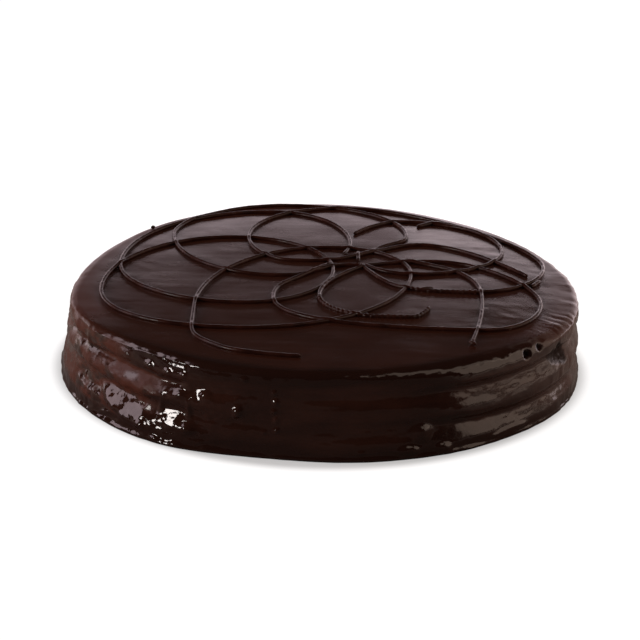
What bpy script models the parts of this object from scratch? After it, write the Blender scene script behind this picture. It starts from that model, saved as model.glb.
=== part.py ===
# A whole round cake: three soft layers under one poured coat, piped lines in a loose rosette on top.
# Sizes are in millimetres until the last step, +Z is up and the flat underside lies on z = 0.
import math

import bmesh
import bpy

for oldObject in list(bpy.data.objects):
    bpy.data.objects.remove(oldObject, do_unlink=True)

METRES_PER_MM = 0.001

BASE_RADIUS = 133.0
TOP_RADIUS = 128.0
BODY_HEIGHT = 45.0
TOP_SHIFT_X = 2.0
TOP_SHIFT_Y = -1.0
SIDE_STEPS = 96

# The seams between the layers: height, how much they fall from one side to the other, and their dip.
SEAMS = (
    {"height": 17.8, "slope": -3.8, "dip": 0.0},
    {"height": 33.0, "slope": 0.0, "dip": 0.8},
)
LAYER_SWELL = 1.7
SWELL_MIDDLE = 0.55
SWELL_RISE = 0.22
SWELL_FALL = 0.42
FRONT_CALM = 0.5
LAYER_LEVELS = ((0.3, 0.42, 0.6, 0.8, 0.97), (0.0, 0.11, 0.22, 0.42, 0.6, 0.8, 0.97), (0.0, 0.11, 0.22, 0.4))
SHOULDER_RADIUS = 4.2
SHOULDER_CHANGE = 1.8
SOFTEST_AZIMUTH = 150.0
SHOULDER_STEPS = 4
FOOT_LIP = 0.8
FOOT_ROUNDING = 1.2

# Unevenness of the outline: waves around the cake, their height at the base and at the top, their turn.
OUTLINE_WAVES = (
    {"count": 3, "base": 1.3, "top": 3.2, "baseTurn": 0.0, "topTurn": -23.0},
    {"count": 7, "base": 0.35, "top": 0.25, "baseTurn": 20.0, "topTurn": 35.0},
    {"count": 11, "base": 0.25, "top": 0.15, "baseTurn": 8.0, "topTurn": 3.0},
)

PIPING_WIDTH = 2.7
PIPING_HEIGHT = 2.5
PIPING_ROOT = 1.0
PIPING_STEP = 8.5
PIPING_TAPER = 0.6
HEIGHT_STEP = 0.03
OVAL_FULLNESS = 0.55

ACROSS = 0.0
AWAY = 90.0

# Each line is a chain of quarter ovals: the place in plan, the way it runs there (None at a loose end),
# and the fullness of the piece that follows where it isn't an even oval.
PIPED_LINES = (
    ((12, 38, None), (16, 56, AWAY), (-26, 107, ACROSS), (-103, 20, AWAY), (-40, -36, ACROSS), (7, 14, AWAY)),
    ((7, 14, AWAY), (-43, 63, ACROSS), (-110, -16, AWAY, 0.62), (-40, -71, ACROSS), (47, 11, AWAY)),
    ((47, 11, AWAY), (7, 49, ACROSS), (-62, -42, AWAY), (-62, -56, AWAY), (-47, -96, -40, 0.4), (-8, -107, None)),
    ((22, 22, None), (5, 19, 35), (-22, 5, ACROSS), (-78, 68, AWAY, 0.47), (-18, 120, ACROSS), (46, 70, AWAY),
     (29, 46, 60, 0.4), (12, 36, None)),
    ((22, 22, None), (35, -3, 125, 0.4), (76, -15, ACROSS), (116, 26, AWAY, 0.37), (16, 116, ACROSS),
     (-38, 65, AWAY), (-12, 28, ACROSS)),
    ((-12, 28, ACROSS, 0.5), (28, 43, 35, 0.4), (54, 56, ACROSS, 0.45), (107, 11, None)),
    ((6, 24, None), (-13, 0, 50, 0.45), (-23, -27, AWAY, 0.68), (80, -68, ACROSS), (111, -28, AWAY, 0.45),
     (60, 30, ACROSS, 0.45), (24, 22, None)),
    ((44, 30, None), (66, 19, 145, 0.4), (82, -20, AWAY, 0.5), (74, -85, None)),
    ((23, 22, None), (48, 10, ACROSS), (96, 50, AWAY), (46, 94, ACROSS), (18, 72, None)),
    ((23, 21, None), (0, -24, AWAY), (30, -52, ACROSS), (46, -52, ACROSS), (55, -38, None)),
)

# Holes left by bubbles and a rough hollow in the coat: azimuth in degrees, height, ball radius, sink.
COAT_HOLES = (
    {"azimuth": -41.0, "height": 38.5, "radius": 1.5, "sink": 0.9},
    {"azimuth": -36.5, "height": 39.5, "radius": 1.3, "sink": 0.8},
    {"azimuth": -27.0, "height": 32.0, "radius": 2.4, "sink": 1.0},
)

COAT_COLOUR = (0.036, 0.014, 0.011, 1.0)
COAT_ROUGHNESS = 0.16
SHARP_ANGLE = math.radians(40.0)


def wallWave(angle, fraction):
    # Sum of the outline's waves at one azimuth, blended from base to top.
    total = 0.0
    for wave in OUTLINE_WAVES:
        low = wave["base"] * math.cos(wave["count"] * (angle - math.radians(wave["baseTurn"])))
        high = wave["top"] * math.cos(wave["count"] * (angle - math.radians(wave["topTurn"])))
        total += low * (1.0 - fraction) + high * fraction
    return total


def wallPoint(angle, height, inset=0.0):
    fraction = height / BODY_HEIGHT
    radius = BASE_RADIUS + (TOP_RADIUS - BASE_RADIUS) * fraction - inset + wallWave(angle, fraction)
    x = fraction * TOP_SHIFT_X + radius * math.cos(angle)
    y = fraction * TOP_SHIFT_Y + radius * math.sin(angle)
    return (x, y, height)


def layerSwell(angle, layer, part):
    # A layer stands out just over its seam and tapers in towards the next; the front is calmer.
    swell = 1.0
    if layer > 0:
        rise = min(part / SWELL_RISE, 1.0)
        swell = rise * rise * (3.0 - 2.0 * rise)
    if layer < len(SEAMS):
        swell *= 1.0 - max(0.0, (part - SWELL_FALL) / (1.0 - SWELL_FALL))
    calm = 1.0 - FRONT_CALM * max(0.0, -math.sin(angle)) ** 4
    return LAYER_SWELL * calm * (swell - SWELL_MIDDLE)


def profileLevels(angle):
    # Heights up the wall at one azimuth with how far the wall stands in there. The shoulder is softest
    # where the coat ran over it.
    levels = [(0.0, FOOT_ROUNDING - FOOT_LIP), (FOOT_ROUNDING, -FOOT_LIP)]
    shoulder = SHOULDER_RADIUS + SHOULDER_CHANGE * math.cos(angle - math.radians(SOFTEST_AZIMUTH))
    shoulderStart = BODY_HEIGHT - shoulder
    tops = [0.0]
    for seam in SEAMS:
        tops.append(seam["height"] + seam["slope"] * math.cos(angle) + seam["dip"] * math.cos(2.0 * angle))
    tops.append(BODY_HEIGHT)
    for layer, parts in enumerate(LAYER_LEVELS):
        for part in parts:
            height = tops[layer] + (tops[layer + 1] - tops[layer]) * part
            levels.append((height, -layerSwell(angle, layer, part)))
    lastInset = levels[-1][1]
    for step in range(SHOULDER_STEPS + 1):
        turn = 0.5 * math.pi * step / SHOULDER_STEPS
        height = shoulderStart + shoulder * math.sin(turn)
        levels.append((height, lastInset * math.cos(turn) + shoulder * (1.0 - math.cos(turn))))
    return levels


def makeMesh(name, vertices, faces):
    mesh = bpy.data.meshes.new(name)
    mesh.from_pydata(vertices, [], faces)
    mesh.update()
    made = bpy.data.objects.new(name, mesh)
    bpy.context.scene.collection.objects.link(made)
    return made


def makeBody():
    angles = [2.0 * math.pi * side / SIDE_STEPS for side in range(SIDE_STEPS)]
    columns = [profileLevels(angle) for angle in angles]
    ringCount = len(columns[0])
    vertices = []
    for ring in range(ringCount):
        for angle, column in zip(angles, columns):
            height, inset = column[ring]
            vertices.append(wallPoint(angle, height, inset))
    faces = [tuple(reversed(range(SIDE_STEPS)))]
    for ring in range(ringCount - 1):
        for side in range(SIDE_STEPS):
            after = (side + 1) % SIDE_STEPS
            low, high = ring * SIDE_STEPS, (ring + 1) * SIDE_STEPS
            faces.append((low + side, low + after, high + after, high + side))
    top = (ringCount - 1) * SIDE_STEPS
    faces.append(tuple(range(top, top + SIDE_STEPS)))
    return makeMesh("cake", vertices, faces)


def handle(node, way, fullness):
    # The curve's handle at a node: part of the way to its neighbour, kept along the node's direction.
    if node[2] is None:
        return (0.0, 0.0)
    turn = math.radians(node[2])
    reach = fullness * (way[0] * math.cos(turn) + way[1] * math.sin(turn))
    return (reach * math.cos(turn), reach * math.sin(turn))


def linePoints(nodes):
    points = []
    for first, last in zip(nodes[:-1], nodes[1:]):
        fullness = first[3] if len(first) > 3 else OVAL_FULLNESS
        way = (last[0] - first[0], last[1] - first[1])
        leaving = handle(first, way, fullness)
        arriving = handle(last, way, fullness)
        steps = max(2, round(1.1 * math.hypot(way[0], way[1]) / PIPING_STEP))
        for step in range(steps):
            t = step / steps
            point = []
            for axis in range(2):
                start, end = first[axis], last[axis]
                second, third = start + leaving[axis], end - arriving[axis]
                point.append(
                    (1.0 - t) ** 3 * start
                    + 3.0 * (1.0 - t) ** 2 * t * second
                    + 3.0 * (1.0 - t) * t ** 2 * third
                    + t ** 3 * end
                )
            points.append(tuple(point))
    points.append((nodes[-1][0], nodes[-1][1]))
    return points


def makeLine(number, nodes):
    # A strip with a five-sided section, its root sunk into the coat.
    points = linePoints(nodes)
    half = 0.5 * PIPING_WIDTH
    tall = PIPING_HEIGHT - HEIGHT_STEP * number
    root = PIPING_ROOT + HEIGHT_STEP * number
    section = ((-half, -root), (-0.85 * half, 0.55 * tall), (0.0, tall), (0.85 * half, 0.55 * tall), (half, -root))
    vertices = []
    for place, (x, y) in enumerate(points):
        before = points[max(place - 1, 0)]
        after = points[min(place + 1, len(points) - 1)]
        length = math.hypot(after[0] - before[0], after[1] - before[1])
        sideX = -(after[1] - before[1]) / length
        sideY = (after[0] - before[0]) / length
        atEnd = place in (0, len(points) - 1)
        scale = PIPING_TAPER if atEnd else 1.0
        for across, up in section:
            height = BODY_HEIGHT + (up * scale if up > 0.0 else up)
            vertices.append((x + sideX * across * scale, y + sideY * across * scale, height))
    count = len(section)
    faces = [tuple(range(count))]
    for place in range(len(points) - 1):
        for side in range(count):
            after = (side + 1) % count
            here, there = place * count, (place + 1) * count
            faces.append((here + side, there + side, there + after, here + after))
    last = (len(points) - 1) * count
    faces.append(tuple(reversed(range(last, last + count))))
    return makeMesh("pipedLine", vertices, faces)


def makeHoleBall(hole):
    mesh = bpy.data.meshes.new("holeBall")
    shape = bmesh.new()
    bmesh.ops.create_icosphere(shape, subdivisions=2, radius=hole["radius"])
    outward = hole["radius"] - hole["sink"]
    x, y, z = wallPoint(math.radians(hole["azimuth"]), hole["height"], -outward)
    bmesh.ops.translate(shape, verts=shape.verts, vec=(x, y, z))
    shape.to_mesh(mesh)
    shape.free()
    made = bpy.data.objects.new("holeBall", mesh)
    bpy.context.scene.collection.objects.link(made)
    return made


def faceOutward(target):
    shape = bmesh.new()
    shape.from_mesh(target.data)
    bmesh.ops.recalc_face_normals(shape, faces=shape.faces)
    shape.to_mesh(target.data)
    shape.free()


def applyBoolean(target, parts, operation):
    # One Boolean against a whole collection; the helper objects are removed afterwards.
    helpers = bpy.data.collections.new("helpers")
    for part in parts:
        faceOutward(part)
        bpy.context.scene.collection.objects.unlink(part)
        helpers.objects.link(part)
        part.hide_render = True
        part.display_type = "WIRE"
    bpy.context.scene.collection.children.link(helpers)
    modifier = target.modifiers.new(operation.lower(), "BOOLEAN")
    modifier.operand_type = "COLLECTION"
    modifier.collection = helpers
    modifier.operation = operation
    modifier.solver = "EXACT"
    graph = bpy.context.evaluated_depsgraph_get()
    joined = bpy.data.meshes.new_from_object(target.evaluated_get(graph))
    target.modifiers.remove(modifier)
    target.data = joined
    for part in parts:
        bpy.data.objects.remove(part, do_unlink=True)
    bpy.data.collections.remove(helpers)


def tidyMesh(target, mergeDistance):
    shape = bmesh.new()
    shape.from_mesh(target.data)
    bmesh.ops.remove_doubles(shape, verts=shape.verts, dist=mergeDistance)
    bmesh.ops.dissolve_degenerate(shape, edges=shape.edges, dist=mergeDistance)
    bmesh.ops.triangulate(shape, faces=shape.faces)
    bmesh.ops.recalc_face_normals(shape, faces=shape.faces)
    shape.to_mesh(target.data)
    shape.free()


def centreAndScale(target):
    xs = [vertex.co.x for vertex in target.data.vertices]
    ys = [vertex.co.y for vertex in target.data.vertices]
    midX = 0.5 * (min(xs) + max(xs))
    midY = 0.5 * (min(ys) + max(ys))
    for vertex in target.data.vertices:
        x, y, z = vertex.co
        vertex.co = ((x - midX) * METRES_PER_MM, (y - midY) * METRES_PER_MM, z * METRES_PER_MM)
    print("middle moved by", round(midX, 3), round(midY, 3))


def makeCoatMaterial():
    material = bpy.data.materials.new("chocolateCoat")
    material.use_nodes = True
    shader = material.node_tree.nodes["Principled BSDF"]
    shader.inputs["Base Color"].default_value = COAT_COLOUR
    shader.inputs["Roughness"].default_value = COAT_ROUGHNESS
    shader.inputs["Metallic"].default_value = 0.0
    material.diffuse_color = COAT_COLOUR
    return material


cake = makeBody()
faceOutward(cake)
applyBoolean(cake, [makeLine(number, nodes) for number, nodes in enumerate(PIPED_LINES)], "UNION")
applyBoolean(cake, [makeHoleBall(hole) for hole in COAT_HOLES], "DIFFERENCE")
tidyMesh(cake, 0.02)
centreAndScale(cake)
cake.data.materials.clear()
cake.data.materials.append(makeCoatMaterial())
cake.data.shade_smooth()
cake.data.set_sharp_from_angle(angle=SHARP_ANGLE)
print("triangles", len(cake.data.polygons))
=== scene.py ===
import math

import bpy
from mathutils import Matrix, Vector


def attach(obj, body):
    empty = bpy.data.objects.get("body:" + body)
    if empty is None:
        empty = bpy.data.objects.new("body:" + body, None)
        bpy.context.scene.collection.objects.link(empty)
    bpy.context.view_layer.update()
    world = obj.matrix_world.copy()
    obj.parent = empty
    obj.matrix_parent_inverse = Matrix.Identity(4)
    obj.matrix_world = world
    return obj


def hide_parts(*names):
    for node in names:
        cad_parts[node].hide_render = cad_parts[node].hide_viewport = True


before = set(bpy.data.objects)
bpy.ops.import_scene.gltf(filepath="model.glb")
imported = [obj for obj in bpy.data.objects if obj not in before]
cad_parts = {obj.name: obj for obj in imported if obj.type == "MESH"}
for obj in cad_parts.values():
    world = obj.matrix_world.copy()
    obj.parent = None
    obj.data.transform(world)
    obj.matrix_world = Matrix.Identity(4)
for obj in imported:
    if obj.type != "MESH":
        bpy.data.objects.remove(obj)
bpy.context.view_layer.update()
mm = 0.001

# The frame's origin is the middle of the outline; the cake's own sizes below are drawn about
# the middle of its base, which lies a little off it.
middleX, middleY = 1.1, -0.4


def addObject(name, data):
    made = bpy.data.objects.new(name, data)
    bpy.context.scene.collection.objects.link(made)
    return made


# camera
cameraSettings = {
    "aim": (0.0, 0.0, 22.0),
    "distance": 1400.0,
    "elevation": 20.9,
    "roll": 1.13,
    "lens": 153.2,
    "sensor": 36.0,
    "clip": (0.05, 30.0),
    "shiftPixels": (1.4, 2.3),
    "pictureWidth": 640,
}


def makeCamera(settings):
    lift = math.radians(settings["elevation"])
    back = Vector((0.0, -math.cos(lift), math.sin(lift)))
    aim = Vector(settings["aim"]) - Vector((middleX, middleY, 0.0))
    lens = bpy.data.cameras.new("cakeCamera")
    lens.lens = settings["lens"]
    lens.sensor_width = settings["sensor"]
    lens.clip_start, lens.clip_end = settings["clip"]
    lens.shift_x = settings["shiftPixels"][0] / settings["pictureWidth"]
    lens.shift_y = settings["shiftPixels"][1] / settings["pictureWidth"]
    camera = addObject("cakeCamera", lens)
    camera.location = (aim + back * settings["distance"]) * mm
    turn = (-back).to_track_quat("-Z", "Y").to_matrix()
    roll = Matrix.Rotation(math.radians(settings["roll"]), 3, "Z")
    camera.rotation_euler = (turn @ roll).to_euler()
    bpy.context.scene.camera = camera


makeCamera(cameraSettings)
print("camera placed")


class Amount:
    # lets a rule made of nodes be written as an ordinary sum
    def __init__(self, tree, socket):
        self.tree = tree
        self.socket = socket

    def combine(self, operation, *others):
        node = self.tree.nodes.new("ShaderNodeMath")
        node.operation = operation
        for slot, item in zip(node.inputs, (self,) + others):
            feed(self.tree, slot, item)
        return Amount(self.tree, node.outputs[0])

    def __add__(self, other):
        return self.combine("ADD", other)

    def __sub__(self, other):
        return self.combine("SUBTRACT", other)

    def __mul__(self, other):
        return self.combine("MULTIPLY", other)

    def __truediv__(self, other):
        return self.combine("DIVIDE", other)

    __radd__ = __add__
    __rmul__ = __mul__


def feed(tree, slot, item):
    if isinstance(item, Amount):
        tree.links.new(item.socket, slot)
    elif isinstance(item, bpy.types.NodeSocket):
        tree.links.new(item, slot)
    else:
        slot.default_value = item


def addNode(tree, kind, inputs=None, output=0, **settings):
    node = tree.nodes.new(kind)
    for name, value in settings.items():
        setattr(node, name, value)
    for name, item in (inputs or {}).items():
        feed(tree, node.inputs[name], item)
    return Amount(tree, node.outputs[output])


def step(value, low, high):
    # 0 below low and 1 above high, with an even curve between; low may be the larger
    limits = {0: value, 1: low, 2: high}
    return addNode(value.tree, "ShaderNodeMapRange", limits, interpolation_type="SMOOTHSTEP")


def window(value, low, high, soft):
    return step(value, low - soft, low) * step(value, high + soft, high)


def vector(tree, x, y, z):
    return addNode(tree, "ShaderNodeCombineXYZ", {0: x, 1: y, 2: z})


def noise(place, scale=1.0, detail=2.0, rough=0.5, distortion=0.0):
    # about -0.5 to 0.5
    made = addNode(place.tree, "ShaderNodeTexNoise", {
        "Vector": place, "Scale": scale, "Detail": detail, "Roughness": rough, "Distortion": distortion})
    return made - 0.5


coatSettings = {
    "baseRadius": 133.0,
    "topRadius": 128.0,
    "height": 45.0,
    "topShift": (2.0, -1.0),
    # the seams between the layers, and how each wanders: waves round the cake, size and turn of each wave
    "seams": ({"height": 17.8, "slope": -3.8, "dip": 0.0}, {"height": 33.0, "slope": 0.0, "dip": 0.8}),
    "seamWander": ((5.0, 0.5, 2.0), (9.0, 0.3, 0.0)),
    "seamSoftness": 0.8,
    # how far a layer stands out, and the shares of its height where it starts, is full and falls off again
    "layerSwell": 1.7,
    "swellUneven": 0.15,
    "swellStart": -0.04,
    "swellRise": 0.22,
    "swellFall": 0.44,
    "swellInset": 0.55,
    # more swell at the right and the left, less at the front
    "swellChanges": (
        {"more": 1.1, "start": (-72.0, -58.0), "end": (10.0, -20.0)},
        {"more": 0.7, "start": (-108.0, -122.0), "end": (-180.0, -160.0)},
        {"more": -0.9, "start": (-122.0, -100.0), "end": (-60.0, -74.0)},
    ),
    "shoulderRadius": 4.2,
    "shoulderChange": 1.8,
    "softestTurn": 150.0,
    "shoulderParts": (
        {"turn": -50.0, "more": 4.4, "spread": 23.0},
        {"turn": -132.0, "more": -2.8, "spread": 26.0},
        {"turn": -163.0, "more": -2.2, "spread": 16.0},
    ),
    "shoulderSteps": 16,
    "bevel": {"turn": -129.0, "length": 1.3, "spread": 24.0, "slope": 29.0, "softness": 7.0},
    "topMargin": 7.4,
    # how far the top sinks towards its margin, and the shares of that left at the front and the left
    "droop": 1.1,
    "droopStart": 84.0,
    "droopWall": 30.0,
    "frontDroop": 0.3,
    "frontTurns": (0.0, 50.0),
    "leftDroop": 0.6,
    "leftReach": (60.0, 110.0),
    "trims": ({"turn": 0.0, "less": 1.2, "spread": 30.0}, {"turn": 180.0, "less": 0.8, "spread": 28.0}),
    "topHollow": {"turn": -130.5, "less": 5.0, "spread": 15.0, "fade": 1.3},
    "baseHollow": {"turn": -98.0, "less": 6.0, "spread": 21.0, "fade": 1.5},
    # the first rings of the foot: height, share of the swell, inset
    "footRings": ((0.0, 0.0, 0.5), (0.15, 0.2, 0.0), (0.5, 0.5, -0.5)),
    "footRounding": 1.2,
    "footBulge": 0.8,
    "footFade": 2.0,
    "wallRings": 64,
    "marginWidth": 36.0,
    "marginStep": 1.2,
    "topStep": 3.4,
    "topMiddle": 6.0,
    "turnStep": 1.0,
    "fineTurnStep": 0.42,
    "fineTurns": (-162.0, -16.0),
    "closingGap": 0.2,
    "waves": (
        {"count": 3, "base": 1.3, "top": 3.2, "baseTurn": 0.0, "topTurn": -23.0},
        {"count": 7, "base": 0.35, "top": 0.25, "baseTurn": 20.0, "topTurn": 35.0},
        {"count": 11, "base": 0.25, "top": 0.15, "baseTurn": 8.0, "topTurn": 3.0},
    ),
}


def outlineWave(turn, share):
    total = 0.0
    for wave in coatSettings["waves"]:
        low = wave["base"] * math.cos(wave["count"] * (turn - math.radians(wave["baseTurn"])))
        high = wave["top"] * math.cos(wave["count"] * (turn - math.radians(wave["topTurn"])))
        total += low * (1.0 - share) + high * share
    return total


def smooth(value, low, high):
    share = min(max((value - low) / (high - low), 0.0), 1.0)
    return share * share * (3.0 - 2.0 * share)


def layerSwell(turn, height):
    # each layer stands out just over its seam and tapers in towards the next
    wander = sum(size * math.sin(count * turn + start) for count, size, start in coatSettings["seamWander"])
    tops = [0.0]
    for seam in coatSettings["seams"]:
        level = seam["height"] + seam["slope"] * math.cos(turn) + seam["dip"] * math.cos(2.0 * turn)
        tops.append(level + wander)
    tops.append(coatSettings["height"])
    for layer, (low, high) in enumerate(zip(tops[:-1], tops[1:])):
        if height <= high:
            part = (height - low) / (high - low)
            break
    fall = coatSettings["swellFall"]
    swell = smooth(part, coatSettings["swellStart"], coatSettings["swellRise"]) if layer else 1.0
    if layer < len(coatSettings["seams"]):
        swell *= 1.0 - max(0.0, (part - fall) / (1.0 - fall))
    degrees = math.degrees(turn)
    depth = coatSettings["layerSwell"] + coatSettings["swellUneven"] * math.sin(8.0 * turn)
    for item in coatSettings["swellChanges"]:
        depth += item["more"] * smooth(degrees, *item["start"]) * smooth(degrees, *item["end"])
    return depth * (swell - coatSettings["swellInset"])


def nearness(turn, item):
    # 1 at the item's own turn, and less on both sides of it
    return math.exp(-((math.degrees(turn) - item["turn"]) / item["spread"]) ** 2)


def shoulderAt(turn):
    away = turn - math.radians(coatSettings["softestTurn"])
    shoulder = coatSettings["shoulderRadius"] + coatSettings["shoulderChange"] * math.cos(away)
    for part in coatSettings["shoulderParts"]:
        shoulder += part["more"] * nearness(turn, part)
    return shoulder


def bevelAt(turn):
    return coatSettings["bevel"]["length"] * nearness(turn, coatSettings["bevel"])


def wallPlace(turn, height, inset):
    share = height / coatSettings["height"]
    base, top = coatSettings["baseRadius"], coatSettings["topRadius"]
    radius = base + (top - base) * share + outlineWave(turn, share) - inset
    for trim in coatSettings["trims"]:
        away = (math.degrees(turn) - trim["turn"] + 180.0) % 360.0 - 180.0
        radius -= trim["less"] * math.exp(-(away / trim["spread"]) ** 2)
    # the coat drew back from the rim at the left front, and from the foot at the front
    hollows = ((coatSettings["topHollow"], share), (coatSettings["baseHollow"], max(0.0, 1.0 - share)))
    for hollow, part in hollows:
        radius -= hollow["less"] * part ** hollow["fade"] * nearness(turn, hollow)
    x = share * coatSettings["topShift"][0] + radius * math.cos(turn)
    y = share * coatSettings["topShift"][1] + radius * math.sin(turn)
    return Vector((x - middleX, y - middleY, height))


def topDroop(x, y):
    # the top sinks softly towards its margin, least at the front
    x, y = x - coatSettings["topShift"][0], y - coatSettings["topShift"][1]
    start, end = coatSettings["droopStart"], coatSettings["topRadius"]
    share = max(0.0, (math.hypot(x, y) - start) / (end - start))
    front = smooth(math.degrees(math.atan2(-y, abs(x))), *coatSettings["frontTurns"])
    left = smooth(-x, *coatSettings["leftReach"])
    less = max(front * (1.0 - coatSettings["frontDroop"]), left * (1.0 - coatSettings["leftDroop"]))
    return coatSettings["droop"] * share * share * (1.0 - less)


def turnsRound():
    # finer steps where the small holes are
    turns = []
    turn = -180.0
    low, high = coatSettings["fineTurns"]
    while turn < 180.0 - coatSettings["closingGap"]:
        turns.append(math.radians(turn))
        turn += coatSettings["fineTurnStep"] if low <= turn <= high else coatSettings["turnStep"]
    return turns


def wallLevels(shoulder, bevel):
    # (height, share of the layers' swell, inset) from the foot to the inner edge of the top
    slope, softness = coatSettings["bevel"]["slope"], coatSettings["bevel"]["softness"]
    bevelTall, bevelDeep = bevel * math.cos(math.radians(slope)), bevel * math.sin(math.radians(slope))
    shoulderTall = shoulder + bevelTall
    tall = coatSettings["height"]
    foot, bulge = coatSettings["footRounding"], coatSettings["footBulge"]
    levels = list(coatSettings["footRings"]) + [(foot, 0.8, -bulge)]
    count = coatSettings["wallRings"]
    for number in range(1, count):
        height = foot + (tall - shoulderTall - foot) * number / count
        levels.append((height, 1.0, -bulge * max(0.0, 1.0 - (height - foot) / coatSettings["footFade"])))
    for number in range(coatSettings["shoulderSteps"] + 1):
        turn = 0.5 * math.pi * number / coatSettings["shoulderSteps"]
        past = smooth(math.degrees(turn), slope - softness, slope + softness)
        levels.append((tall - shoulderTall + shoulder * math.sin(turn) + bevelTall * past, math.cos(turn),
                       shoulder * (1.0 - math.cos(turn)) + bevelDeep * past))
    inset = coatSettings["topMargin"]
    while inset < coatSettings["topRadius"] - coatSettings["topMiddle"]:
        levels.append((tall, 0.0, inset))
        inset += coatSettings["marginStep"] if inset < coatSettings["marginWidth"] else coatSettings["topStep"]
    return levels


def topPoint(turn, height, inset):
    # on the top, in from its margin towards the middle
    topX, topY = coatSettings["topShift"]
    margin, radius = coatSettings["topMargin"], coatSettings["topRadius"]
    edge = wallPlace(turn, height, margin)
    centre = Vector((topX - middleX, topY - middleY, height))
    place = edge.lerp(centre, (inset - margin) / (radius - margin))
    place.z -= topDroop(place.x + middleX, place.y + middleY)
    return place * mm


def wallPoint(turn, height, swell, inset):
    # on the wall or its shoulder; the swell is a mean over nearby heights, which keeps the seams soft
    tall, softness = coatSettings["height"], coatSettings["seamSoftness"]
    near = [max(0.0, min(tall, height + shift * softness)) for shift in (-2, -1, 0, 1, 2)]
    swollen = sum(layerSwell(turn, place) for place in near) / len(near) * swell if swell else 0.0
    place = wallPlace(turn, height, inset - swollen)
    margin = wallPlace(turn, tall, inset)
    sunk = smooth(height, coatSettings["droopWall"], tall)
    place.z -= topDroop(margin.x + middleX, margin.y + middleY) * sunk
    return place * mm


def makeCoatSurface():
    turns = turnsRound()
    around = len(turns)
    columns = [wallLevels(shoulderAt(turn), bevelAt(turn)) for turn in turns]
    rings = len(columns[0])
    points = []
    for ring in range(rings):
        for turn, column in zip(turns, columns):
            height, swell, inset = column[ring]
            if inset >= coatSettings["topMargin"]:
                points.append(topPoint(turn, height, inset))
            else:
                points.append(wallPoint(turn, height, swell, inset))
    faces = [tuple(reversed(range(around)))]
    for ring in range(rings - 1):
        for side in range(around):
            after = (side + 1) % around
            low, high = ring * around, (ring + 1) * around
            faces.append((low + side, low + after, high + after, high + side))
    last = (rings - 1) * around
    faces.append(tuple(range(last, last + around)))
    mesh = bpy.data.meshes.new("glazedCoat")
    mesh.from_pydata(points, [], faces)
    mesh.update()
    return addObject("glazedCoat", mesh)


# the strength of each kind of relief in mm
reliefSettings = {
    "Band Waves": 0.8,
    "Left Folds": 1.1,
    "Left Lumps": 0.75,
    "Right Lumps": 0.36,
    "Rim Lumps": 0.5,
    "Rim Pleats": 0.45,
    "Top Waves": 0.26,
    "Top Ripples": 0.34,
    "Foot Rags": 0.7,
}
# Where each kind lies: turns round the cake in degrees, heights or distances from the middle in mm, with how
# softly it ends where it has two ends.
reliefPlaces = {
    "calmTurns": (-64.0, -22.0, 8.0),
    "leftFolds": (128.0, 152.0),
    "rightFolds": (-26.0, 60.0, 9.0),
    "leftLumps": (-150.0, -110.0, 14.0),
    "leftLumpsTop": (32.5, 36.0),
    "rightLumps": (-60.0, 10.0, 12.0),
    "rimHeight": (38.0, 42.0),
    "rimFront": (-165.0, -30.0, 12.0),
    "rimBackLeft": (150.0, 170.0),
    "pleatTurns": (-28.0, 34.0, 8.0),
    "pleatDistance": (114.0, 127.0),
    "pleatHeight": (28.0, 41.0),
    "rightRipples": (62.0, 30.0),
    "leftRipples": (120.0, 150.0),
    "rippleDistance": (66.0, 105.0),
    "footRags": (5.0, 1.5),
    "mattLeft": (-124.0, -133.0),
    "mattMiddleLayer": (21.5, 24.0),
    "mattTopLayer": (31.0, 34.0),
    "mattFarLeft": (146.0, 162.0),
    "mattRight": (-34.0, -20.0),
    "mattHeight": (9.0, 41.0, 3.0),
    "mattPatches": (-0.13, 0.05),
    "mattRimLeft": (146.0, 160.0),
    "mattRimBack": (80.0, 110.0),
    "mattRimRight": (-30.0, 40.0, 10.0),
    "mattRimDistance": (108.0, 124.0),
    "mattRimHeight": (38.0, 41.0),
    "softTurns": (-68.0, -4.0, 8.0),
    "softHeight": (8.0, 37.0, 2.0),
}
# the grain of each kind in mm: along the coat, and up it
reliefGrains = {
    "bands": (34.0, 8.0),
    "foldBends": (22.0, 22.0),
    "folds": (10.0, 26.0),
    "leftLumps": (7.0, 5.0),
    "rightLumps": (11.0, 5.0),
    "topWaves": (26.0, 26.0),
    "footRags": (10.0, 20.0),
    "hollowGrit": (2.4, 2.4),
    "hollowEdge": (8.0, 8.0),
    "mattPatches": (13.0, 5.0),
}
# the grain of what runs round the rim: degrees for each turn of it, and mm
rimGrains = {
    "lumps": (3.4, 6.0),
    "pleats": (1.7, 20.0),
    "ripples": (9.0, 26.0),
    "rippleLean": 40.0,
}
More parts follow.
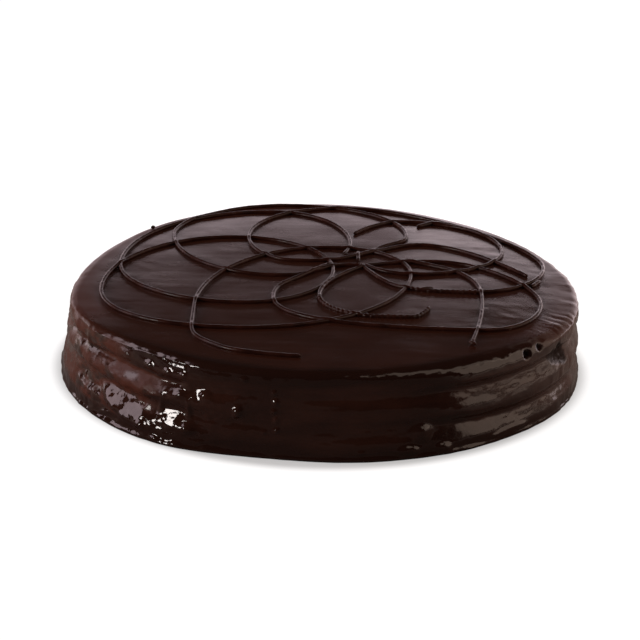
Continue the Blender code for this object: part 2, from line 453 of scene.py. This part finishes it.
# Single marks in the coat: turn round the cake, height, half width, half height, depth (out is positive), tilt,
# and the share of the mark that stays flat in its middle.
bubbleHoles = (
    (-40.5, 40.2, 2.8, 2.7, -2.8, 0, 0.5),
    (-36.2, 41.2, 2.1, 2.1, -2.2, 0, 0.45),
)
flatSlide = (-134.6, 12.4, 23.0, 6.6, 0.5, -14, 0.62)
slideLean = (0.06, 0.12)  # how much the slide's face turns to the front, and up
coatMarks = (
    # drops and runs at the right front
    (-67.6, 13.8, 6.8, 6.6, 2.5, -20, 0.05),
    (-70.4, 4.6, 7.5, 3.4, 1.1, 0, 0.3),
    (-62.6, 4.2, 5.2, 3.2, 1.1, -8, 0.3),
    (-45.0, 4.6, 15.0, 2.2, 0.7, 2, 0.5),
    (-80.6, 5.2, 3.2, 1.6, 0.5, 0, 0.2),
    # the pit in the slide at the left, the fold from the rim, and upright runs
    (-130.0, 17.0, 2.0, 1.7, -0.8, 0, 0.1),
    (-150.2, 35.0, 2.2, 9.0, 0.9, 6, 0.1),
    (-157.0, 39.0, 11.0, 3.8, 0.9, -8, 0.2),
    (-153.6, 34.0, 4.5, 4.0, -1.1, 0, 0.1),
    (-161.5, 34.0, 6.0, 4.5, -0.9, 30, 0.1),
    (-144.0, 32.6, 14.0, 2.4, -0.8, 0, 0.3),
    (-149.5, 16.5, 18.0, 4.5, -1.0, 0, 0.5),
    (-137.0, 38.0, 6.0, 2.0, 0.5, -25, 0.1),
    (-141.0, 5.5, 7.0, 1.6, 0.6, 20, 0.1),
    (-125.2, 18.6, 1.9, 5.2, 1.1, 0, 0.1),
    (-118.4, 19.2, 1.9, 5.4, 1.1, 0, 0.1),
    (-99.8, 34.0, 2.0, 2.0, 1.0, 0, 0.05),
    (-99.4, 29.4, 2.0, 2.6, 1.1, 0, 0.05),
    (-99.6, 24.8, 1.9, 1.9, 1.0, 0, 0.05),
    (-99.0, 20.2, 2.1, 2.8, 1.15, 0, 0.05),
    (-107.4, 22.8, 3.4, 4.4, 1.6, 0, 0.05),
    # lumps that catch the light
    (-129.8, 36.6, 3.6, 2.6, 0.75, 0, 0.1),
    (-124.6, 36.2, 3.4, 2.4, 0.7, 0, 0.1),
    (-120.4, 36.6, 3.0, 2.2, 0.6, 0, 0.1),
    (-119.4, 31.0, 5.0, 2.6, 0.8, 0, 0.1),
    (-120.6, 27.0, 4.6, 2.4, 0.8, 10, 0.1),
    (-114.6, 28.4, 5.4, 3.2, 1.0, -15, 0.1),
    (-118.4, 10.4, 6.6, 3.8, 1.1, 0, 0.1),
    (-129.5, 7.4, 4.6, 2.8, 0.8, 0, 0.1),
    (-125.4, 3.0, 4.4, 2.0, 0.6, 0, 0.1),
    (-120.6, 2.6, 3.6, 1.8, 0.6, 0, 0.1),
    (-113.6, 2.8, 4.0, 1.8, 0.6, 0, 0.1),
    (-114.0, 18.0, 3.0, 2.0, 0.5, 0, 0.1),
    (-98.8, 15.0, 2.0, 2.0, 1.05, 0, 0.05),
    (-106.4, 39.6, 2.4, 2.0, 0.7, 0, 0.1),
    (-101.5, 13.6, 1.6, 1.8, 0.6, 0, 0.1),
)
roughHollow = (-27.0, 31.0, 13.5, 6.4, -1.3, -24, 0.25)
mmPerDegree = 2.28


def startTree(name, inputs):
    # an empty tree with named inputs, and its first and last node
    tree = bpy.data.node_groups.new(name, "GeometryNodeTree")
    tree.interface.new_socket(name="Geometry", in_out="INPUT", socket_type="NodeSocketGeometry")
    for inputName, kind in inputs:
        tree.interface.new_socket(name=inputName, in_out="INPUT", socket_type="NodeSocket" + kind)
    tree.interface.new_socket(name="Geometry", in_out="OUTPUT", socket_type="NodeSocketGeometry")
    return tree, tree.nodes.new("NodeGroupInput"), tree.nodes.new("NodeGroupOutput")


def endTree(tree, latest, outside, material):
    realized = tree.nodes.new("GeometryNodeRealizeInstances")
    tree.links.new(latest.outputs[0], realized.inputs[0])
    finished = tree.nodes.new("GeometryNodeSetMaterial")
    tree.links.new(realized.outputs[0], finished.inputs["Geometry"])
    finished.inputs["Material"].default_value = material
    tree.links.new(finished.outputs[0], outside.inputs[0])


def splitVector(item):
    node = item.tree.nodes.new("ShaderNodeSeparateXYZ")
    feed(item.tree, node.inputs[0], item)
    return [Amount(item.tree, socket) for socket in node.outputs]


def makeReliefTree():
    tree, inside, outside = startTree("coatRelief", [(name, "Float") for name in reliefSettings])
    places, grains = reliefPlaces, reliefGrains

    def amount(name):
        # a noise reaches about half a unit to each side
        return Amount(tree, inside.outputs[name]) * 2.0

    normal = addNode(tree, "GeometryNodeInputNormal")
    x, y, z = [part * 1000.0 for part in splitVector(addNode(tree, "GeometryNodeInputPosition"))]
    up = splitVector(normal)[2]
    share = z / coatSettings["height"]
    fromAxisX = x + middleX - share * coatSettings["topShift"][0]
    fromAxisY = y + middleY - share * coatSettings["topShift"][1]
    turn = fromAxisY.combine("ARCTAN2", fromAxisX) * (180.0 / math.pi)
    aside = turn.combine("ABSOLUTE")
    radius = (fromAxisX * fromAxisX + fromAxisY * fromAxisY).combine("SQRT")
    wall = step(up, 0.8, 0.3)
    top = step(up, 0.3, 0.8) * step(z, 30.0, 40.0)
    offBase = step(z, 0.2, 3.0)
    lowWall = wall * offBase

    def field(name, **options):
        size, tall = grains[name]
        return noise(vector(tree, x / size, y / size, z / tall), **options)

    # long flat swellings along the layers, all round
    calm = window(turn, *places["calmTurns"]) * -0.55 + 1.0
    relief = field("bands", detail=2.0) * amount("Band Waves") * lowWall * calm

    # folds that slid down the left side and the right edge
    sides = step(aside, *places["leftFolds"]) + window(turn, *places["rightFolds"])
    bent = field("foldBends") * 1.2
    foldWide, foldTall = grains["folds"]
    folds = noise(vector(tree, x / foldWide + bent, y / foldWide + bent, z / foldTall), detail=3.0)
    relief = relief + folds * amount("Left Folds") * lowWall * sides

    # small lumps where the coat ran unevenly
    leftFront = window(turn, *places["leftLumps"]) * (step(z, *places["leftLumpsTop"]) * -0.75 + 1.0)
    lumps = field("leftLumps", detail=3.0, distortion=0.6)
    relief = relief + lumps * amount("Left Lumps") * lowWall * leftFront
    lumps = field("rightLumps", detail=3.0, distortion=0.4)
    relief = relief + lumps * amount("Right Lumps") * lowWall * window(turn, *places["rightLumps"])

    # the rim: lumps along its edge, and fine pleats pulled over it at the right
    rim = step(up, 0.995, 0.93) * step(z, *places["rimHeight"])
    lumpTurn, lumpSize = rimGrains["lumps"]
    edgeLumps = noise(vector(tree, turn / lumpTurn, z / lumpSize, radius / lumpSize), detail=2.0)
    backLeft = step(aside, *places["rimBackLeft"]) * step(turn, 0.0, 1.0)
    relief = relief + edgeLumps * amount("Rim Lumps") * rim * (window(turn, *places["rimFront"]) + backLeft)
    pleated = window(turn, *places["pleatTurns"]) * step(radius, *places["pleatDistance"])
    pleated = pleated * step(z, *places["pleatHeight"])
    pleatTurn, pleatSize = rimGrains["pleats"]
    pleats = noise(vector(tree, turn / pleatTurn + radius / pleatSize, radius / pleatSize, 0.0), detail=1.0)
    relief = relief + pleats * amount("Rim Pleats") * pleated

    # the top: slow waves, and ripples near the right and left edges
    relief = relief + field("topWaves", detail=2.0) * amount("Top Waves") * top
    rippled = step(aside, *places["rightRipples"]) + step(aside, *places["leftRipples"]) * 0.6
    rippled = rippled * step(radius, *places["rippleDistance"]) * top
    rippleTurn, rippleSize = rimGrains["ripples"]
    leaning = turn / rippleTurn + radius / rimGrains["rippleLean"]
    ripple = noise(vector(tree, leaning, radius / rippleSize, 3.0), detail=2.0)
    relief = relief + (ripple - 0.15) * amount("Top Ripples") * rippled

    # ragged foot
    rags = field("footRags", detail=1.0)
    relief = relief + rags * amount("Foot Rags") * step(z, *places["footRags"]) * wall

    def marked(mark, ragged=None):
        markTurn, markHeight, halfWidth, halfHeight, depth, tilt, flat = mark
        lean = math.radians(tilt)
        along, over = (turn - markTurn) * mmPerDegree, z - markHeight
        first = (along * math.cos(lean) + over * math.sin(lean)) / halfWidth
        second = (over * math.cos(lean) - along * math.sin(lean)) / halfHeight
        away = (first * first + second * second).combine("SQRT")
        return step(away + ragged if ragged else away, 1.0, flat) * depth

    for mark in bubbleHoles + coatMarks:
        relief = relief + marked(mark)
    # the slide is a flat face: what the wall curves away over its width is filled up
    slideTurn, slideHeight, slideDepth = flatSlide[0], flatSlide[1], flatSlide[4]
    slide = marked(flatSlide) / slideDepth
    along, over = (turn - slideTurn) * mmPerDegree, z - slideHeight
    face = along * along / (2.0 * coatSettings["baseRadius"])
    face = face - along * slideLean[0] - over * slideLean[1] + slideDepth
    relief = relief + face * slide
    # the bubble holes, and the rough hollow with its grit; both are painted dark inside, as shade
    pits = marked(bubbleHoles[0]) * -0.7 + marked(bubbleHoles[1]) * -0.7
    hollow = marked(roughHollow, field("hollowEdge", detail=2.0) * 1.2)
    relief = relief + hollow * (field("hollowGrit", detail=2.0) * 3.0 + 0.75)
    pits = pits.combine("MINIMUM", 1.0) + (hollow * -2.6).combine("MINIMUM", 0.8)

    # Where the coat dried matt: bands of the left side, but not its slide and its foot, and a little at the
    # right edge. The bands reach further round in the middle layer and less far in the top one.
    reach = turn - step(z, *places["mattMiddleLayer"]) * 3.0 + step(z, *places["mattTopLayer"]) * 12.0
    matt = step(reach, *places["mattLeft"]) + step(aside, *places["mattFarLeft"])
    matt = matt + step(turn, *places["mattRight"]) * 0.4
    matt = matt.combine("MINIMUM", 1.0) * step(slide, 0.5, 0.1) * window(z, *places["mattHeight"])
    matt = matt * step(field("mattPatches", detail=3.0), *places["mattPatches"])
    mattRim = step(aside, *places["mattRimLeft"]) + step(turn, *places["mattRimBack"])
    mattRim = mattRim + window(turn, *places["mattRimRight"]) * 0.5
    mattRim = mattRim.combine("MINIMUM", 1.0) * step(radius, *places["mattRimDistance"])
    mattRim = mattRim * step(z, *places["mattRimHeight"])
    matt = matt.combine("MAXIMUM", mattRim)
    soft = window(turn, *places["softTurns"]) * window(z, *places["softHeight"])

    # the foot stays on the table, so there the coat moves sideways only
    moved = addNode(tree, "ShaderNodeVectorMath", {0: normal, "Scale": relief * mm}, operation="SCALE")
    overX, overY, overZ = splitVector(moved)
    placed = tree.nodes.new("GeometryNodeSetPosition")
    tree.links.new(inside.outputs["Geometry"], placed.inputs["Geometry"])
    feed(tree, placed.inputs["Offset"], vector(tree, overX, overY, overZ * offBase))
    latest = placed
    for name, value in (("topShare", top), ("pitShare", pits), ("mattShare", matt), ("softShare", soft)):
        stored = tree.nodes.new("GeometryNodeStoreNamedAttribute")
        stored.data_type = "FLOAT"
        stored.domain = "POINT"
        stored.inputs["Name"].default_value = name
        tree.links.new(latest.outputs[0], stored.inputs["Geometry"])
        tree.links.new(value.socket, stored.inputs["Value"])
        latest = stored
    endTree(tree, latest, outside, coatMaterial)
    return tree


def applyTree(piece, tree, values):
    # runs the tree on the piece and keeps the result as a plain mesh
    modifier = piece.modifiers.new(tree.name, "NODES")
    modifier.node_group = tree
    for item in tree.interface.items_tree:
        if item.in_out == "INPUT" and item.name in values:
            modifier[item.identifier] = values[item.name]
    graph = bpy.context.evaluated_depsgraph_get()
    evaluated = piece.evaluated_get(graph)
    mesh = bpy.data.meshes.new_from_object(evaluated, preserve_all_data_layers=True, depsgraph=graph)
    piece.modifiers.remove(modifier)
    mesh.name = piece.name
    piece.data = mesh
    return piece


def newMaterial(name):
    material = bpy.data.materials.new(name)
    material.use_nodes = True
    tree = material.node_tree
    tree.nodes.clear()
    shader = tree.nodes.new("ShaderNodeBsdfPrincipled")
    output = tree.nodes.new("ShaderNodeOutputMaterial")
    tree.links.new(shader.outputs[0], output.inputs["Surface"])
    return material, tree, shader


def objectPlace(tree):
    # the place on the object in mm
    coordinates = addNode(tree, "ShaderNodeTexCoord", output="Object")
    return [part * 1000.0 for part in splitVector(coordinates)]


def blendColour(tree, share, first, second):
    first, second = [(*item, 1.0) if isinstance(item, tuple) else item for item in (first, second)]
    inputs = {"Factor": share, 6: first, 7: second}
    return addNode(tree, "ShaderNodeMix", inputs, output=2, data_type="RGBA")


glazeSettings = {
    "dark": (0.0225, 0.0078, 0.0048),
    "warm": (0.054, 0.0182, 0.0112),
    "matt": (0.098, 0.0315, 0.0200),
    "mattCover": 0.8,
    # painted shade: the colour inside the bubble holes and the rough hollow
    "shadedPit": (0.006, 0.0018, 0.0012),
    # size of the colour patches along the coat and up it, and the limits between dark and warm
    "patchSize": (40.0, 12.0),
    "warmthLimits": (-0.25, 0.35),
    "warmerTop": 0.35,
    # painted shade: the top darker towards the front
    "paintedShadeFront": 0.2,
    "frontReach": (-45.0, -112.0),
    # painted shade: the rim darker at the front
    "paintedShadeRim": 0.4,
    "rimDistance": (117.0, 126.0),
    "rimHeight": (35.0, 42.0),
    # painted shade: the wall darker towards its foot
    "paintedShadeFoot": 0.35,
    "footHeight": (13.0, 1.0),
    # the mirror: less in the matt areas, nearly none in the holes
    "ior": 1.46,
    "specular": 0.5,
    "mattSpecular": -0.38,
    "pitSpecular": -0.85,
    "wallRoughness": 0.06,
    "mattRoughness": 0.26,
    "softRoughness": 0.07,
    "pitRoughness": 0.35,
    "topRoughness": 0.24,
    "mattTopRoughness": 0.16,
    "smootherFront": -0.105,
    "smoothReach": (-20.0, -100.0),
    "streakRoughness": 0.16,
    "smearRoughness": (0.12, 0.08),
    "leastRoughness": 0.03,
    "wallBump": 0.09,
    "wallGrain": 2.4,
    "topBump": 0.028,
}


def storedValue(tree, name):
    return addNode(tree, "ShaderNodeAttribute", output="Fac", attribute_name=name)


def addBump(tree, shader, height):
    bump = addNode(tree, "ShaderNodeBump", {"Height": height, "Strength": 1.0, "Distance": mm})
    tree.links.new(bump.socket, shader.inputs["Normal"])


def makeCoatMaterial():
    settings = glazeSettings
    material, tree, shader = newMaterial("pouredGlaze")
    x, y, z = objectPlace(tree)
    top = storedValue(tree, "topShare")
    shadedPit = storedValue(tree, "pitShare")
    matt = storedValue(tree, "mattShare")
    soft = storedValue(tree, "softShare")
    side = step(top, 1.0, 0.0)

    # colour
    patchWide, patchTall = settings["patchSize"]
    patches = noise(vector(tree, x / patchWide, y / patchWide, z / patchTall), detail=4.0)
    front = step(y, *settings["frontReach"])
    rim = step((x * x + y * y).combine("SQRT"), *settings["rimDistance"]) * step(z, *settings["rimHeight"])
    # painted shade: the top made darker towards the front
    warmth = patches + top * (front * -settings["paintedShadeFront"] + settings["warmerTop"])
    # painted shade: the rim band at the front darkened
    warmth = warmth - rim * front * settings["paintedShadeRim"]
    # painted shade: the wall darkened towards the foot
    warmth = warmth - side * step(z, *settings["footHeight"]) * settings["paintedShadeFoot"]
    glaze = blendColour(tree, step(warmth, *settings["warmthLimits"]), settings["dark"], settings["warm"])
    glaze = blendColour(tree, matt * settings["mattCover"], glaze, settings["matt"])
    # painted shade: the holes and the rough hollow darkened inside
    glaze = blendColour(tree, shadedPit, glaze, settings["shadedPit"])
    tree.links.new(glaze.socket, shader.inputs["Base Color"])

    # mirror
    shader.inputs["IOR"].default_value = settings["ior"]
    bare = (shadedPit * settings["pitSpecular"] + 1.0).combine("MAXIMUM", 0.0)
    mirror = (matt * settings["mattSpecular"] + settings["specular"]) * bare
    tree.links.new(mirror.socket, shader.inputs["Specular IOR Level"])

    # the top dried satin with faint strokes, the wall stayed mirror bright
    streaks = noise(vector(tree, x / 40.0 + y / 60.0, y / 4.5, z / 3.0), detail=2.0)
    smear = noise(vector(tree, x / 16.0, y / 9.0, z / 6.0), detail=3.0)
    topSmear, sideSmear = settings["smearRoughness"]
    roughTop = streaks * settings["streakRoughness"] + smear * topSmear
    roughTop = roughTop + step(y, *settings["smoothReach"]) * settings["smootherFront"]
    roughTop = roughTop + settings["topRoughness"] + matt * settings["mattTopRoughness"]
    roughSide = smear * sideSmear + matt * settings["mattRoughness"] + soft * settings["softRoughness"]
    roughSide = roughSide + settings["wallRoughness"]
    rough = top * roughTop + side * roughSide + shadedPit * settings["pitRoughness"]
    tree.links.new(rough.combine("MAXIMUM", settings["leastRoughness"]).socket, shader.inputs["Roughness"])

    # fine relief
    grain = settings["wallGrain"]
    fine = noise(vector(tree, x / grain, y / grain, z / grain), detail=3.0)
    height = fine * settings["wallBump"] * side + (streaks + smear * 2.0) * settings["topBump"] * top
    addBump(tree, shader, height)
    return material


coatMaterial = makeCoatMaterial()
coat = applyTree(makeCoatSurface(), makeReliefTree(), reliefSettings)
coat.data.shade_smooth()
print("coat made,", len(coat.data.polygons), "faces")


lineSettings = {
    "Line Radius": 1.06,
    "Piece Length": 0.6,
    "Sides": 9,
    "Unevenness": 0.18,
    "Bead Length": 2.9,
    "Bead Depth": 0.24,
    # height of a line's middle over the top, length of its rounded end in radii, and its course in plan
    "overTop": 0.7,
    "endLength": 2.2,
    "planStep": 1.5,
    "ovalFullness": 0.55,
    # how much a line climbs over another, and how near it has to come
    "rise": 0.6,
    "riseReach": 4.0,
    "riseSpread": 2.2,
    # points of its own course just before a spot that don't count
    "ownGap": 12,
    # the waves of its thickness and how much the beads drift with them
    "slowWave": 14.0,
    "quickWave": 3.5,
    "beadDrift": 9.0,
}
across, away = 0.0, 90.0

# Chains of quarter ovals: place in plan, direction there (None at a loose end), and the fullness of the
# piece that follows where it isn't an even oval.
pipedLines = (
    ((12, 38, None), (16, 56, away), (-26, 107, across), (-103, 20, away), (-40, -36, across), (7, 14, away),
     (-43, 63, across), (-110, -16, away, 0.62), (-40, -71, across), (47, 11, away), (7, 49, across),
     (-62, -42, away), (-62, -56, away), (-47, -96, -40, 0.4), (-8, -107, None)),
    ((22, 22, None), (5, 19, 35), (-22, 5, across), (-78, 68, away, 0.47), (-18, 120, across), (46, 70, away),
     (29, 46, 60, 0.4), (12, 36, None)),
    ((22, 22, None), (35, -3, 125, 0.4), (76, -15, across), (116, 26, away, 0.37), (16, 116, across),
     (-38, 65, away), (-12, 28, across, 0.5), (28, 43, 35, 0.4), (54, 56, across, 0.45), (107, 11, None)),
    ((6, 24, None), (-13, 0, 50, 0.45), (-23, -27, away, 0.68), (80, -68, across), (111, -28, away, 0.45),
     (60, 30, across, 0.45), (24, 22, None)),
    ((44, 30, None), (66, 19, 145, 0.4), (82, -20, away, 0.5), (74, -85, None)),
    ((23, 22, None), (48, 10, across), (96, 50, away), (46, 94, across), (18, 72, None)),
    ((23, 21, None), (0, -24, away), (30, -52, across), (46, -52, across), (55, -38, None)),
    # short strokes and blobs left by the bag
    ((20, 42, None), (20, 28, None)),
    ((52, 86, None), (60, 92, None), (70, 91, None)),
    ((108, -5, None), (113, 4, None)),
    ((51, -14, None), (58, -10, None)),
    ((-91, 77, None), (-89, 79, None)),
    ((72.5, -85, None), (76, -87.5, None)),
)
# where a line was laid in beads: its number, and the box of its beaded part
beadedParts = (
    (6, -10, -60, 60, -24),
    (2, 45, -20, 82, -8),
)


def handle(node, way, fullness):
    if node[2] is None:
        return Vector((0.0, 0.0))
    turn = math.radians(node[2])
    direction = Vector((math.cos(turn), math.sin(turn)))
    return direction * (fullness * way.dot(direction))


def linePoints(nodes, pieceLength):
    points = []
    for first, last in zip(nodes[:-1], nodes[1:]):
        start, end = Vector(first[:2]), Vector(last[:2])
        fullness = first[3] if len(first) > 3 else lineSettings["ovalFullness"]
        second = start + handle(first, end - start, fullness)
        third = end - handle(last, end - start, fullness)
        count = max(3, round(1.1 * (end - start).length / pieceLength))
        for number in range(count):
            t = number / count
            points.append((1 - t) ** 3 * start + 3 * (1 - t) ** 2 * t * second
                          + 3 * (1 - t) * t ** 2 * third + t ** 3 * end)
    points.append(Vector(nodes[-1][:2]))
    return points


def liftOver(spot, others):
    # how much of the full rise a line has at a spot, for the lines that lie there already
    reach, spread = lineSettings["riseReach"], lineSettings["riseSpread"]
    gaps = [(other - spot).length for other in others]
    return max([math.exp(-(gap / spread) ** 2) for gap in gaps if gap < reach], default=0.0)


def makeLinePaths():
    # every line climbs a little where it crosses what was piped before it
    points, edges, beads = [], [], []
    laid = []
    for number, nodes in enumerate(pipedLines):
        plan = linePoints(nodes, lineSettings["planStep"])
        start = len(points)
        for place, spot in enumerate(plan):
            own = plan[0:max(0, place - lineSettings["ownGap"]):2]
            lift = lineSettings["rise"] * max(liftOver(spot, own), liftOver(spot, laid))
            height = coatSettings["height"] - topDroop(*spot) + lineSettings["overTop"] + lift
            points.append(Vector((spot.x - middleX, spot.y - middleY, height)) * mm)
            beads.append(float(any(number == line and lowX < spot.x < highX and lowY < spot.y < highY
                                   for line, lowX, lowY, highX, highY in beadedParts)))
        laid += plan[::2]
        edges += [(start + place, start + place + 1) for place in range(len(plan) - 1)]
    mesh = bpy.data.meshes.new("pipedLines")
    mesh.from_pydata(points, edges, [])
    mesh.attributes.new("beads", "FLOAT", "POINT").data.foreach_set("value", beads)
    return addObject("pipedLines", mesh)


def makeLineTree():
    sizes = ("Line Radius", "Piece Length", "Unevenness", "Bead Length", "Bead Depth")
    inputs = [(name, "Float") for name in sizes] + [("Sides", "Int")]
    tree, inside, outside = startTree("pipedLines", inputs)

    def amount(name):
        return Amount(tree, inside.outputs[name])

    curve = addNode(tree, "GeometryNodeMeshToCurve", {0: inside.outputs["Geometry"]})
    resampled = addNode(tree, "GeometryNodeResampleCurve", {
        "Curve": curve, "Length": amount("Piece Length") * mm}, mode="LENGTH")

    # rounded loose ends
    along = addNode(tree, "GeometryNodeSplineParameter", output="Length") * 1000.0
    whole = addNode(tree, "GeometryNodeSplineLength") * 1000.0
    fromEnd = along.combine("MINIMUM", whole - along)
    near = (fromEnd / (amount("Line Radius") * lineSettings["endLength"])).combine("MINIMUM", 1.0)
    rounding = (near * (near * -1.0 + 2.0) + 0.06).combine("SQRT")

    # uneven thickness, and beads where the path asks for them
    position = addNode(tree, "GeometryNodeInputPosition")
    place = addNode(tree, "ShaderNodeVectorMath", {0: position, "Scale": 1000.0}, operation="SCALE")
    slow = noise(place, scale=1.0 / lineSettings["slowWave"], detail=2.0)
    quick = noise(place, scale=1.0 / lineSettings["quickWave"], detail=1.0)
    beads = addNode(tree, "GeometryNodeInputNamedAttribute", {"Name": "beads"},
                    output="Attribute", data_type="FLOAT")
    phase = along * (2.0 * math.pi) / amount("Bead Length") + slow * lineSettings["beadDrift"]
    bead = phase.combine("SINE") * beads * amount("Bead Depth")
    uneven = (slow * 2.0 + quick * 0.8) * amount("Unevenness") + 1.0
    radius = amount("Line Radius") * mm * rounding * (uneven + bead)
    thick = addNode(tree, "GeometryNodeSetCurveRadius", {"Curve": resampled, "Radius": radius})

    section = addNode(tree, "GeometryNodeCurvePrimitiveCircle", {"Resolution": amount("Sides"), "Radius": 1.0})
    tube = tree.nodes.new("GeometryNodeCurveToMesh")
    feed(tree, tube.inputs["Curve"], thick)
    feed(tree, tube.inputs["Profile Curve"], section)
    feed(tree, tube.inputs["Scale"], addNode(tree, "GeometryNodeInputRadius"))
    tube.inputs["Fill Caps"].default_value = True
    endTree(tree, tube, outside, lineMaterial)
    return tree


lineFinish = {
    "dark": (0.022, 0.0064, 0.0040),
    "warm": (0.044, 0.0130, 0.0080),
    "warmthLimits": (-0.2, 0.2),
    "patchSize": 9.0,
    "roughness": 0.21,
    "roughnessChange": 0.4,
    "ior": 1.46,
    "specular": 0.2,
    "bump": 0.12,
}


def makeLineMaterial():
    settings = lineFinish
    material, tree, shader = newMaterial("pipedChocolate")
    x, y, z = objectPlace(tree)
    size = settings["patchSize"]
    patches = noise(vector(tree, x / size, y / size, z / size), detail=3.0)
    colour = blendColour(tree, step(patches, *settings["warmthLimits"]), settings["dark"], settings["warm"])
    tree.links.new(colour.socket, shader.inputs["Base Color"])
    rough = patches * settings["roughnessChange"] + settings["roughness"]
    tree.links.new(rough.socket, shader.inputs["Roughness"])
    shader.inputs["IOR"].default_value = settings["ior"]
    shader.inputs["Specular IOR Level"].default_value = settings["specular"]
    addBump(tree, shader, noise(vector(tree, x, y, z), detail=2.0) * settings["bump"])
    return material


lineMaterial = makeLineMaterial()
lines = applyTree(makeLinePaths(), makeLineTree(), lineSettings)
lines.data.shade_smooth()
print("lines made,", len(lines.data.polygons), "faces")

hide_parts("cake")
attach(coat, "root")
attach(lines, "root")


roomSettings = {
    "floorSize": 8.0,
    "floorGlow": 0.96,
    "sideGlowColour": (1.0, 0.79, 0.66),
    "footShade": 0.5,
    "footShadeWidth": 7.5,
    "footShadeInside": 2.0,
    "floorColour": (0.30, 0.285, 0.28),
    "worldColour": (0.025, 0.021, 0.020),
}


# Warm patches of the floor that only the coat mirrors: brightness, and in mm where each starts and is full
# across, where it ends, and the same from front to back.
floorPatches = {
    "near": {"glow": 0.16, "across": (100.0, 180.0), "back": (-260.0, -120.0)},
    "right": {"glow": 0.9, "across": (190.0, 520.0), "end": (1500.0, 1100.0), "back": (-480.0, -200.0)},
    "left": {"glow": 0.6, "across": (-190.0, -520.0), "end": (-1500.0, -1100.0), "back": (-200.0, 50.0)},
}


def floorPatch(x, y, patch):
    share = step(x, *patch["across"])
    if "end" in patch:
        share = share * step(x, *patch["end"])
    return share * step(y, *patch["back"]) * patch["glow"]


def makeFloor():
    half = roomSettings["floorSize"] / 2
    mesh = bpy.data.meshes.new("floor")
    corners = [(-half, -half, 0), (half, -half, 0), (half, half, 0), (-half, half, 0)]
    mesh.from_pydata(corners, [], [(0, 1, 2, 3)])
    floor = addObject("floor", mesh)
    material = bpy.data.materials.new("paleFloor")
    material.use_nodes = True
    tree = material.node_tree
    tree.nodes.clear()
    matt = addNode(tree, "ShaderNodeBsdfDiffuse", {"Color": (*roomSettings["floorColour"], 1.0)})
    # an overexposed white for the eye, with a soft shade at the foot; the coat mirrors only the warm patches
    x, y, z = objectPlace(tree)
    away = (x * x + y * y).combine("SQRT")
    edge = coatSettings["baseRadius"]
    shade = step(away, edge + roomSettings["footShadeWidth"], edge - roomSettings["footShadeInside"])
    shade = shade * -roomSettings["footShade"]
    seen = addNode(tree, "ShaderNodeLightPath", output="Is Camera Ray")
    mirrored = floorPatch(x.combine("ABSOLUTE"), y, floorPatches["near"])
    mirrored = mirrored + floorPatch(x, y, floorPatches["right"]) + floorPatch(x, y, floorPatches["left"])
    strength = seen * (shade + roomSettings["floorGlow"]) + (seen * -1.0 + 1.0) * mirrored
    colour = blendColour(tree, seen, roomSettings["sideGlowColour"], (1.0, 1.0, 1.0))
    glow = addNode(tree, "ShaderNodeEmission", {"Strength": strength, "Color": colour})
    both = addNode(tree, "ShaderNodeAddShader", {0: matt, 1: glow})
    output = tree.nodes.new("ShaderNodeOutputMaterial")
    tree.links.new(both.socket, output.inputs["Surface"])
    mesh.materials.append(material)


# The studio's panels: place, where each one looks, width and height in metres, brightness, colour.
panels = {
    "rightPanel": ((1.35, -0.08, 0.55), (0, 0, 0.05), (1.55, 1.0), 1.3, (1.0, 0.76, 0.62)),
    "upperRightPanel": ((0.95, -0.5, 1.28), (0, 0, 0.05), (1.4, 0.5), 1.1, (1.0, 0.78, 0.64)),
    "rightBackPanel": ((0.78, 0.93, 0.5), (0, 0, 0.05), (0.9, 0.8), 0.35, (1.0, 0.76, 0.66)),
    "leftPanel": ((-1.2, -0.05, 0.52), (0, 0, 0.03), (0.45, 0.85), 3.7, (1.0, 0.78, 0.84)),
    "leftLamp": ((-1.75, -1.0, 0.45), (0, 0, 0.03), (0.38, 0.38), 27.0, (1.0, 0.93, 0.90)),
    "farLeftPanel": ((-1.15, 0.78, 0.3), (0, 0, 0.03), (0.55, 0.5), 1.1, (1.0, 0.84, 0.84)),
    # low panels close behind, mirrored by the top
    "backLeftPanel": ((-0.5, 0.3, 0.0625), (-0.5, 0, 0.0625), (0.84, 0.125), 1.32, (1.0, 0.82, 0.88)),
    "backPanel": ((-0.015, 0.3, 0.06), (-0.015, 0, 0.06), (0.13, 0.12), 1.3, (1.0, 0.82, 0.88)),
    "backRightPanel": ((0.475, 0.3, 0.068), (0.475, 0, 0.068), (0.85, 0.136), 1.9, (1.0, 0.83, 0.88)),
}


def makePanel(name, place, aim, size, radiance, colour):
    light = bpy.data.lights.new(name, "AREA")
    light.shape = "RECTANGLE"
    light.size, light.size_y = size
    light.energy = radiance * math.pi * size[0] * size[1]
    light.color = colour
    panel = addObject(name, light)
    panel.location = place
    panel.rotation_euler = (Vector(aim) - Vector(place)).to_track_quat("-Z", "Y").to_euler()
    panel.visible_camera = False


def makeWorld():
    world = bpy.data.worlds.new("dimStudio")
    world.use_nodes = True
    background = world.node_tree.nodes["Background"]
    background.inputs["Color"].default_value = (*roomSettings["worldColour"], 1.0)
    background.inputs["Strength"].default_value = 1.0
    bpy.context.scene.world = world


makeFloor()
makeWorld()
for panelName, panelSettings in panels.items():
    makePanel(panelName, *panelSettings)
bpy.context.scene.view_settings.view_transform = "Standard"
print("room lit")
